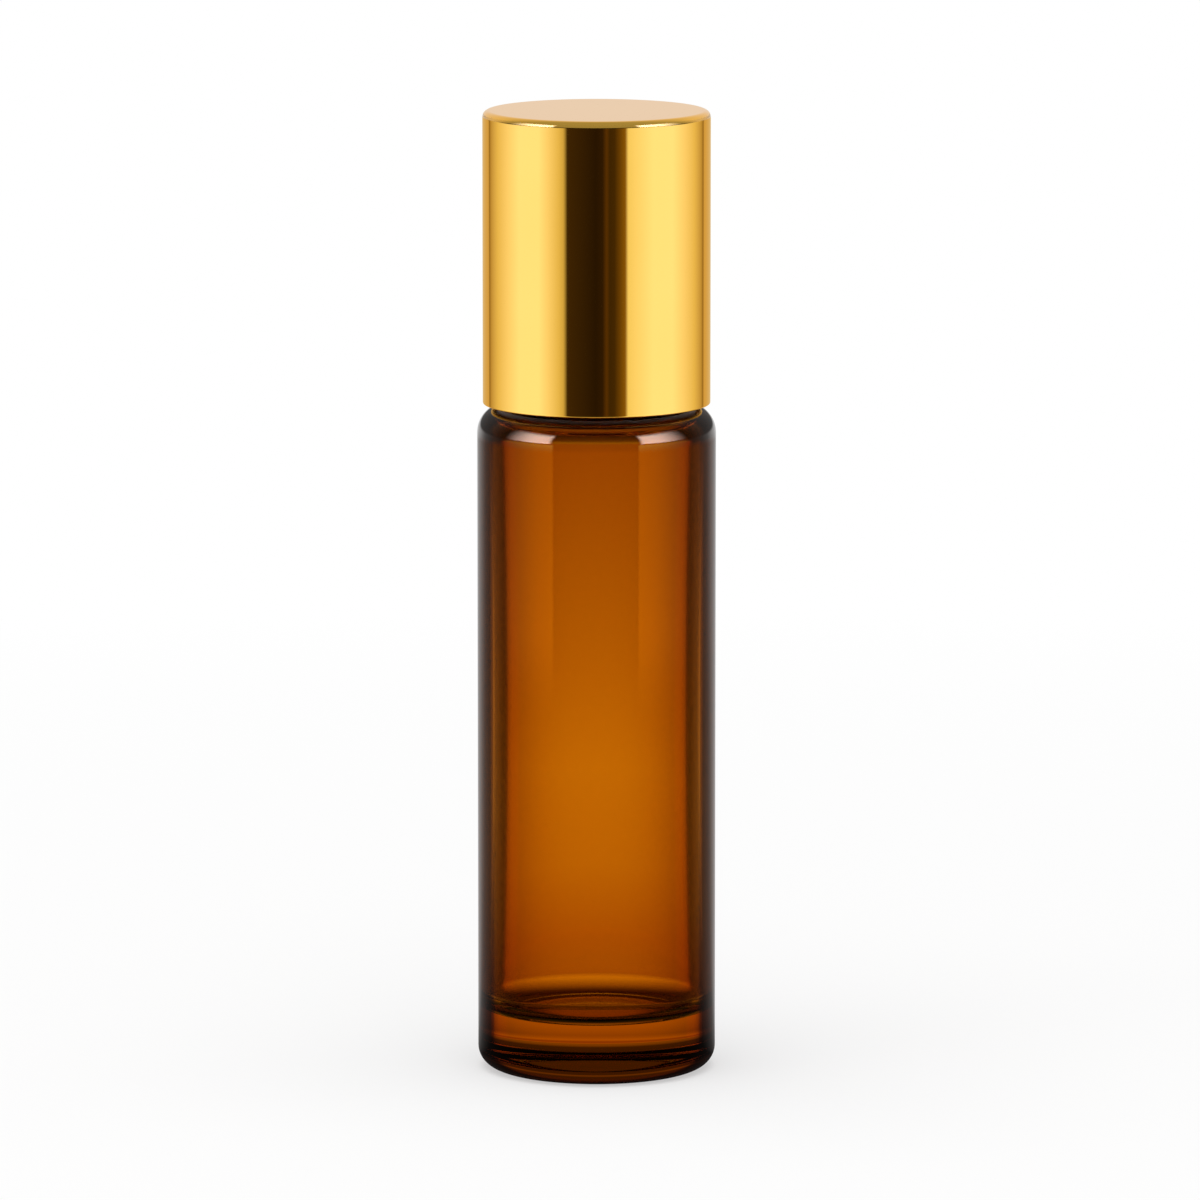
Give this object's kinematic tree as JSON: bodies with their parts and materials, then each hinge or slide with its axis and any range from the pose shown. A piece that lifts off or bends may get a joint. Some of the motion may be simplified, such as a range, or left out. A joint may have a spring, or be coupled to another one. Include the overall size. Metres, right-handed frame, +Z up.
{
  "type": "roll on bottle",
  "caption": "Slim amber glass roll-on bottle with a heavy base, a roller ball held in a plug in its neck, and a tall cylindrical gold metal screw cap over a threaded inner cap.",
  "frame": {"origin": "centre of the bottle's base, on the surface that it stands on", "axes": "+Z up along the bottle's axis, towards the cap; X and Y are alike because the outside is a body of revolution"},
  "size_m": [0.021, 0.021, 0.0851],
  "materials": {
    "amber_glass": "clear amber soda-lime glass, fire polished",
    "housing_plastic": "natural milky polyethylene",
    "polished_steel": "polished stainless steel",
    "soft_seal": "soft white foamed elastomer",
    "inner_cap_plastic": "moulded white polypropylene",
    "gold_aluminium": "bright gold anodised, near mirror"
  },
  "bodies": {
    "bottle": {"glass_bottle": "amber_glass", "roller_housing": "housing_plastic"},
    "ball": {"roller_ball": "polished_steel"},
    "disc": {"sealing_disc": "soft_seal"},
    "cap": {"inner_cap": "inner_cap_plastic", "cap_shell": "gold_aluminium"}
  },
  "joints": [
    {"name": "ball_roll", "type": "hinge", "parent": "bottle", "child": "ball", "pos_m": [0, 0, 0.0758], "axis": [1, 0, 0], "continuous": true},
    {"name": "disc_lift", "type": "slide", "parent": "bottle", "child": "disc", "axis": [0, 0, 1], "range_m": [0, 0.0225]},
    {"name": "cap_turn", "type": "hinge", "parent": "disc", "child": "cap", "pos_m": [0, 0, 0.0596], "axis": [0, 0, 1], "range_deg": [0, 2700]}
  ],
  "couplings": [
    {"joint": "disc_lift", "follows": "cap_turn", "m_per_rad": 0.00047746}
  ]
}
